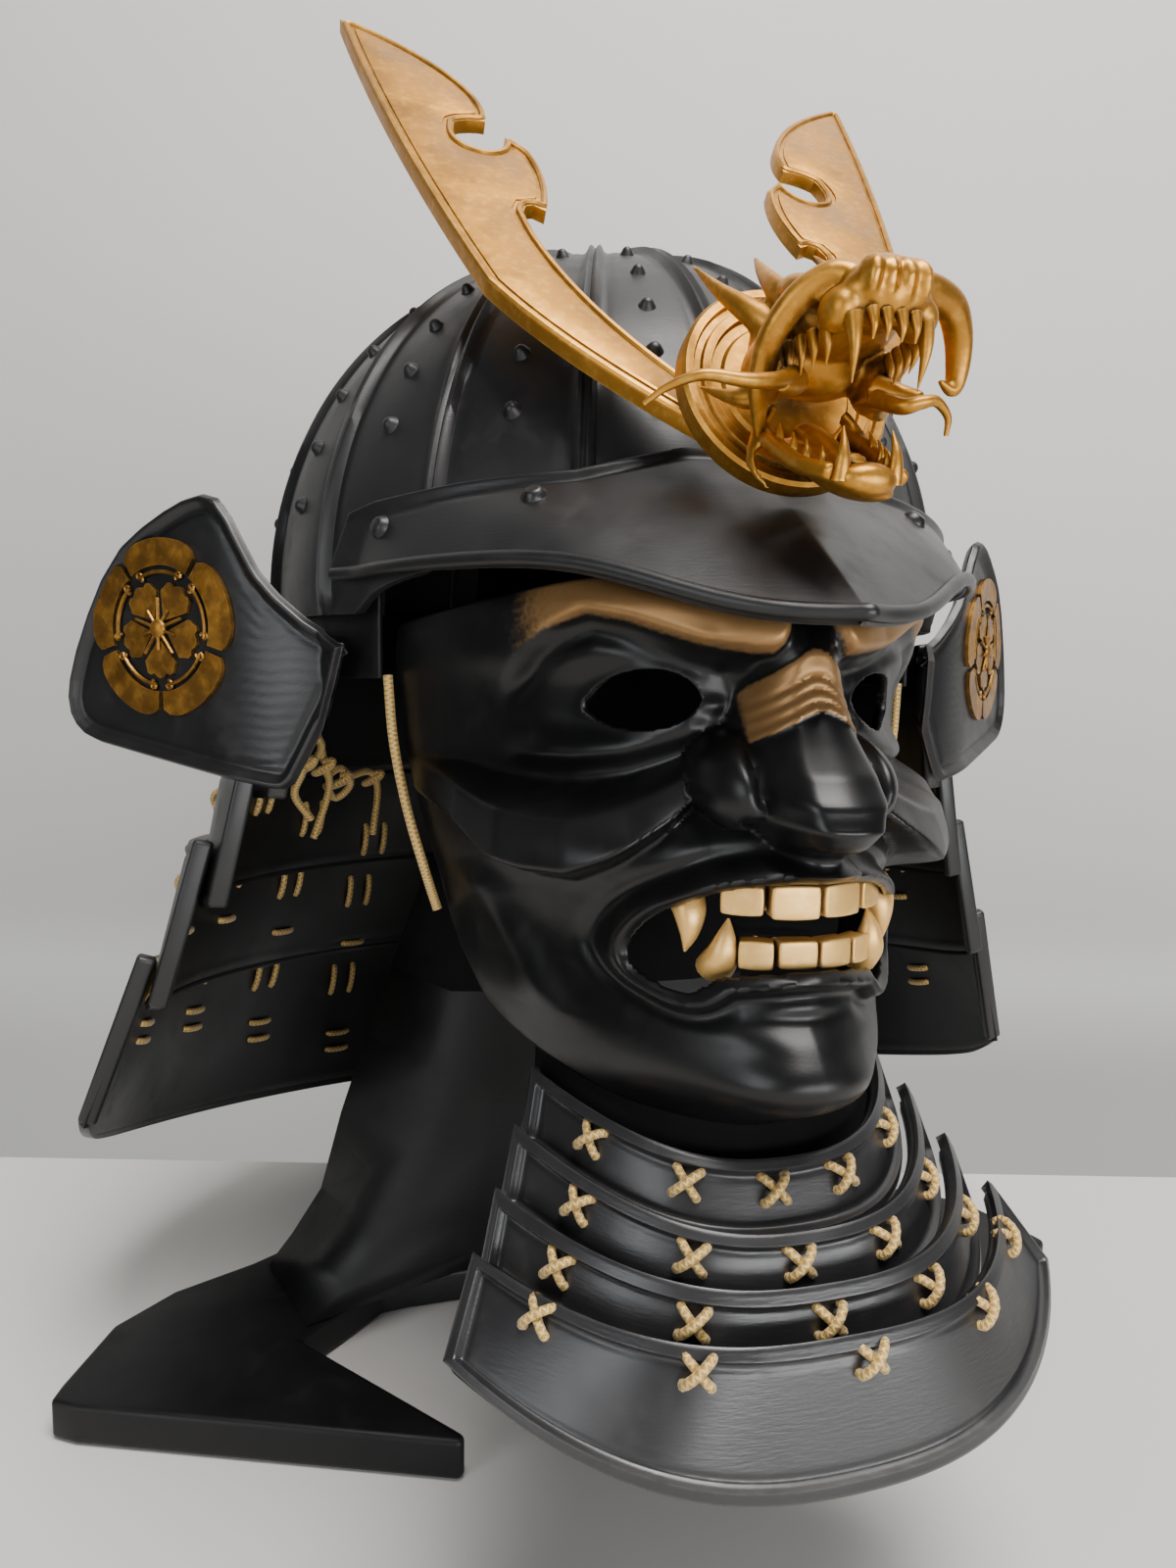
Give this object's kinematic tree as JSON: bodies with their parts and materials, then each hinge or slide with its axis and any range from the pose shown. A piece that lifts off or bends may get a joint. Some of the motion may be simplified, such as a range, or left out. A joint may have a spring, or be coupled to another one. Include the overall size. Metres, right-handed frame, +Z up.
{
  "type": "samurai helmet with face mask on a display stand",
  "caption": "Samurai helmet with a gold dragon crest, a demon face mask, a laced throat guard and a flared neck guard, worn by a black display stand.",
  "frame": {"origin": "underside of the stand's base, below the middle of the helmet bowl", "axes": "+Z up, -Y the way the mask faces, +X to the wearer's left"},
  "size_m": [0.372, 0.364, 0.4577],
  "materials": {
    "armour_black": "satin black paint with rubbed edges",
    "stand_black": "satin black",
    "gold_paint": "antique gold paint, rubbed",
    "gold_cord": "braided gold cord"
  },
  "bodies": {
    "root": {"stand_base": "stand_black", "stand_post": "stand_black", "stand_pad": "stand_black", "helmet_bowl": "armour_black", "crown_boss": "armour_black", "visor": "armour_black", "neck_lame_1": "armour_black", "neck_lame_2": "armour_black", "neck_lame_3": "armour_black", "neck_lame_4": "armour_black", "turnback_right": "armour_black", "turnback_left": "armour_black", "crest_flower_right": "gold_paint", "crest_flower_left": "gold_paint", "crest_blade_right": "gold_paint", "crest_blade_left": "gold_paint", "crest_disc": "gold_paint", "dragon_skull": "gold_paint", "dragon_jaw": "gold_paint", "dragon_whisker_right": "gold_paint", "dragon_whisker_left": "gold_paint", "mask_shell": "armour_black", "teeth_upper": "gold_paint", "teeth_lower": "gold_paint", "throat_lame_1": "armour_black", "throat_lame_2": "armour_black", "throat_lame_3": "armour_black", "throat_lame_4": "armour_black", "mask_cord_right": "gold_cord", "mask_cord_left": "gold_cord", "mask_bracket": "stand_black"}
  },
  "joints": []
}
